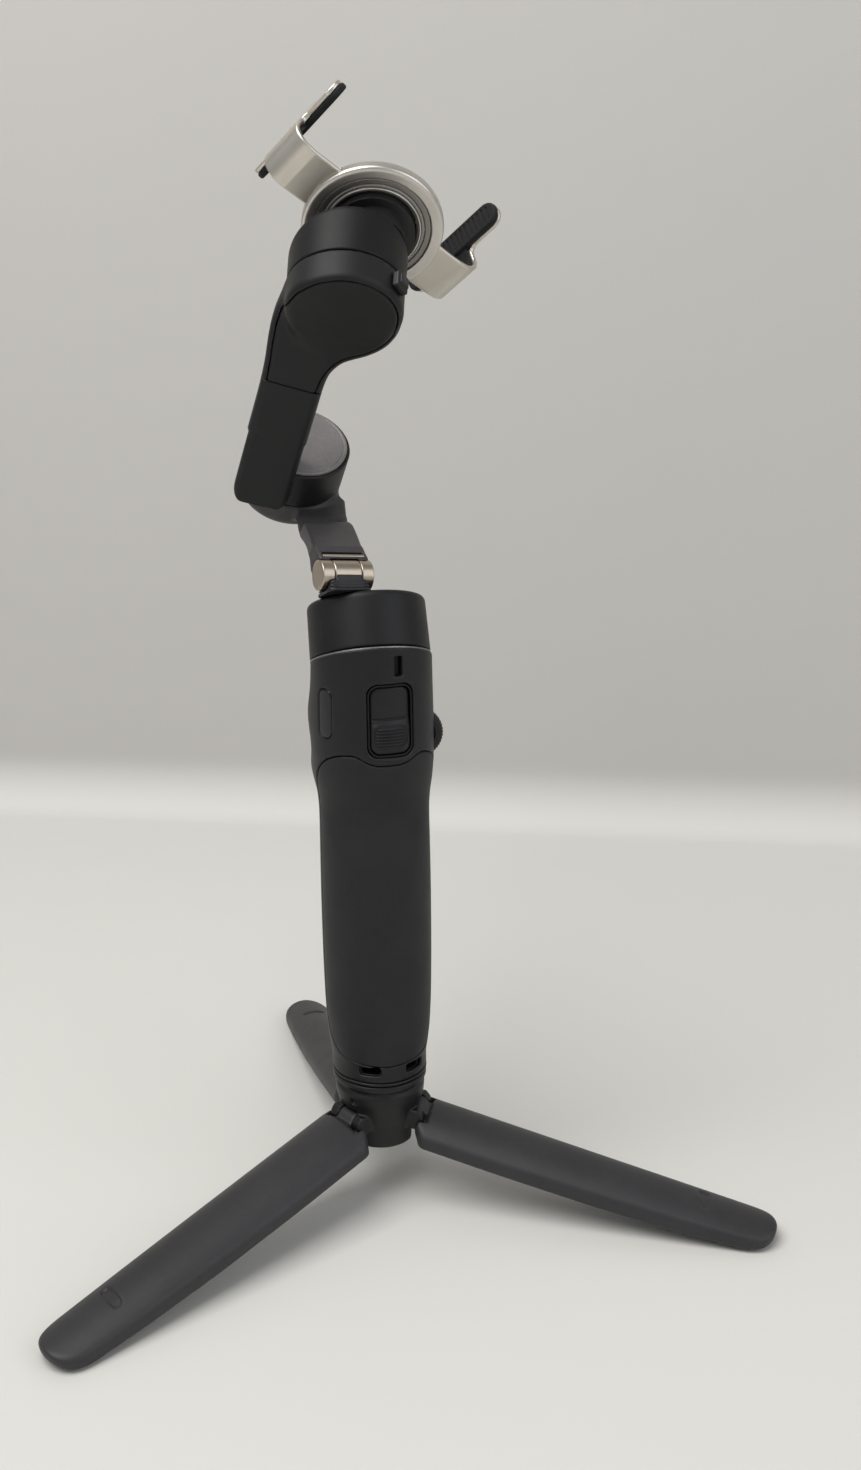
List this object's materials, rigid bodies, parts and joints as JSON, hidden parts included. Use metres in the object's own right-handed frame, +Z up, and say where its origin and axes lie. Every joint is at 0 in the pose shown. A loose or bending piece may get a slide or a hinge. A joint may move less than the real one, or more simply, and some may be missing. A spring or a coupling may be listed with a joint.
{
  "type": "phone camera stabiliser",
  "caption": "Folding three-motor handheld stabiliser for a phone, with a telescopic rod and a magnetic spring clamp, standing on a folding three-leg mini stand.",
  "frame": {"origin": "the floor point straight under the grip's axis, on the plane of the three rubber feet", "axes": "+Z up along the grip's axis, -Y out through the trigger, +X towards the dial"},
  "size_m": [0.2291, 0.1984, 0.3646],
  "materials": {
    "grip_shell": "fine matte, slightly worn at the edges",
    "grip_cover": "soft matte rubber",
    "control_panel": "satin grey",
    "status_window": "glossy smoked",
    "base_cap": "satin",
    "battery": "shrink sleeve",
    "main_board": "solder mask",
    "charge_port": "plain",
    "trigger": "fine matte",
    "trigger_frame": "satin",
    "dial": "ribbed",
    "dial_axle": "ground",
    "stick": "matte",
    "stick_ring": "semi gloss",
    "mode_button": "satin",
    "shutter_button": "semi gloss",
    "guide_tube": "drawn",
    "rod_a": "anodised",
    "rod_b": "anodised",
    "rod_c": "anodised",
    "pan_base": "satin anodised",
    "pan_stator": "enamelled winding",
    "pan_bearing": "polished",
    "pan_cover": "fine matte",
    "pan_magnets": "nickel plated",
    "fold_base": "satin",
    "fold_knuckle_mid": "champagne anodised",
    "fold_knuckle_outer": "champagne anodised",
    "fold_pin": "ground",
    "pan_arm": "fine matte, scuffed",
    "mid_stator": "enamelled winding",
    "mid_bearing": "polished",
    "roll_arm": "fine matte",
    "mid_cap": "satin grey",
    "mid_magnets": "nickel plated",
    "last_housing": "fine matte",
    "last_stator": "enamelled winding",
    "mount_rotor": "satin",
    "mount_magnets": "nickel plated",
    "mount_tab": "satin",
    "clamp_body": "satin anodised",
    "clamp_back": "satin grey",
    "clamp_pad": "matte",
    "jaw_a": "satin anodised",
    "jaw_a_pad": "ribbed",
    "jaw_b": "satin anodised",
    "jaw_b_pad": "ribbed",
    "stand_hub": "satin",
    "stand_screw": "plated",
    "leg_pins": "ground",
    "leg_a": "fine texture",
    "leg_b": "fine texture",
    "leg_c": "fine texture",
    "foot_a": "matte",
    "foot_b": "matte",
    "foot_c": "matte"
  },
  "bodies": {
    "grip": {"grip_shell": "grip_shell", "grip_cover": "grip_cover", "control_panel": "control_panel", "status_window": "status_window", "base_cap": "base_cap", "battery": "battery", "main_board": "main_board", "charge_port": "charge_port", "trigger_frame": "trigger_frame", "dial_axle": "dial_axle", "stick_ring": "stick_ring", "guide_tube": "guide_tube", "stand_hub": "stand_hub", "stand_screw": "stand_screw", "leg_pins": "leg_pins"},
    "trigger": {"trigger": "trigger"},
    "dial": {"dial": "dial"},
    "stick": {"stick": "stick"},
    "mode_button": {"mode_button": "mode_button"},
    "shutter_button": {"shutter_button": "shutter_button"},
    "rod_a": {"rod_a": "rod_a"},
    "rod_b": {"rod_b": "rod_b"},
    "rod_c": {"rod_c": "rod_c", "pan_base": "pan_base", "pan_stator": "pan_stator", "pan_bearing": "pan_bearing"},
    "pan_rotor": {"pan_cover": "pan_cover", "pan_magnets": "pan_magnets", "fold_base": "fold_base", "fold_knuckle_mid": "fold_knuckle_mid"},
    "pan_arm": {"fold_knuckle_outer": "fold_knuckle_outer", "fold_pin": "fold_pin", "pan_arm": "pan_arm", "mid_stator": "mid_stator", "mid_bearing": "mid_bearing"},
    "roll_arm": {"roll_arm": "roll_arm", "mid_cap": "mid_cap", "mid_magnets": "mid_magnets", "last_housing": "last_housing", "last_stator": "last_stator", "mount_tab": "mount_tab"},
    "mount": {"mount_rotor": "mount_rotor", "mount_magnets": "mount_magnets"},
    "clamp": {"clamp_body": "clamp_body", "clamp_back": "clamp_back", "clamp_pad": "clamp_pad"},
    "jaw_a": {"jaw_a": "jaw_a", "jaw_a_pad": "jaw_a_pad"},
    "jaw_b": {"jaw_b": "jaw_b", "jaw_b_pad": "jaw_b_pad"},
    "leg_a": {"leg_a": "leg_a", "foot_a": "foot_a"},
    "leg_b": {"leg_b": "leg_b", "foot_b": "foot_b"},
    "leg_c": {"leg_c": "leg_c", "foot_c": "foot_c"}
  },
  "joints": [
    {"name": "rod_a_slide", "type": "slide", "parent": "grip", "child": "rod_a", "axis": [0, 0, 1], "range_m": [0, 0.06]},
    {"name": "rod_b_slide", "type": "slide", "parent": "rod_a", "child": "rod_b", "axis": [0, 0, 1], "range_m": [0, 0.06]},
    {"name": "rod_c_slide", "type": "slide", "parent": "rod_b", "child": "rod_c", "axis": [0, 0, 1], "range_m": [0, 0.06]},
    {"name": "pan", "type": "hinge", "parent": "rod_c", "child": "pan_rotor", "pos_m": [0, 0.0015, 0.1818], "axis": [0, 0.3584, 0.9336], "range_deg": [-150, 150]},
    {"name": "fold", "type": "hinge", "parent": "pan_rotor", "child": "pan_arm", "pos_m": [-0.0088, -0.0011, 0.2092], "axis": [0.9691, 0.2303, -0.0884], "range_deg": [-20, 50]},
    {"name": "roll", "type": "hinge", "parent": "pan_arm", "child": "roll_arm", "pos_m": [-0.01669, 0.04886, 0.24401], "axis": [0.135, -0.6552, 0.7433], "range_deg": [-130, 130]},
    {"name": "tilt", "type": "hinge", "parent": "roll_arm", "child": "mount", "pos_m": [0.0042, 0.0051, 0.3183], "axis": [0.1602, 0.7509, 0.6407], "range_deg": [-90, 79]},
    {"name": "clamp_release", "type": "slide", "parent": "mount", "child": "clamp", "axis": [0.1602, 0.7509, 0.6407], "range_m": [0, 0.02]},
    {"name": "jaw_a_slide", "type": "slide", "parent": "clamp", "child": "jaw_a", "axis": [0.8058, 0.2755, -0.5243], "range_m": [0, 0.0085], "stiffness_N_per_m": 400},
    {"name": "jaw_b_slide", "type": "slide", "parent": "clamp", "child": "jaw_b", "axis": [-0.8058, -0.2755, 0.5243], "range_m": [0, 0.0085]},
    {"name": "trigger_press", "type": "slide", "parent": "grip", "child": "trigger", "axis": [0, 1, 0], "range_m": [0, 0.001], "stiffness_N_per_m": 600},
    {"name": "dial_turn", "type": "hinge", "parent": "grip", "child": "dial", "pos_m": [0.0152, 0, 0.1562], "axis": [0, 1, 0], "continuous": true},
    {"name": "stick_tilt", "type": "hinge", "parent": "grip", "child": "stick", "pos_m": [0, 0.0172, 0.158], "axis": [1, 0, 0], "range_deg": [-12, 12]},
    {"name": "mode_press", "type": "slide", "parent": "grip", "child": "mode_button", "axis": [0, -1, 0], "range_m": [0, 0.0008]},
    {"name": "shutter_press", "type": "slide", "parent": "grip", "child": "shutter_button", "axis": [0, -1, 0], "range_m": [0, 0.0008]},
    {"name": "leg_a_fold", "type": "hinge", "parent": "grip", "child": "leg_a", "pos_m": [-0.01114, -0.0067, 0.0282], "axis": [0.515, -0.8572, 0], "range_deg": [0, 76]},
    {"name": "leg_b_fold", "type": "hinge", "parent": "grip", "child": "leg_b", "pos_m": [0.0118, -0.00545, 0.0282], "axis": [0.4195, 0.9078, 0], "range_deg": [0, 76]},
    {"name": "leg_c_fold", "type": "hinge", "parent": "grip", "child": "leg_c", "pos_m": [-0.00097, 0.01296, 0.0282], "axis": [-0.9972, -0.075, 0], "range_deg": [0, 76]}
  ],
  "couplings": [
    {"joint": "jaw_b_slide", "follows": "jaw_a_slide", "ratio": 1}
  ]
}
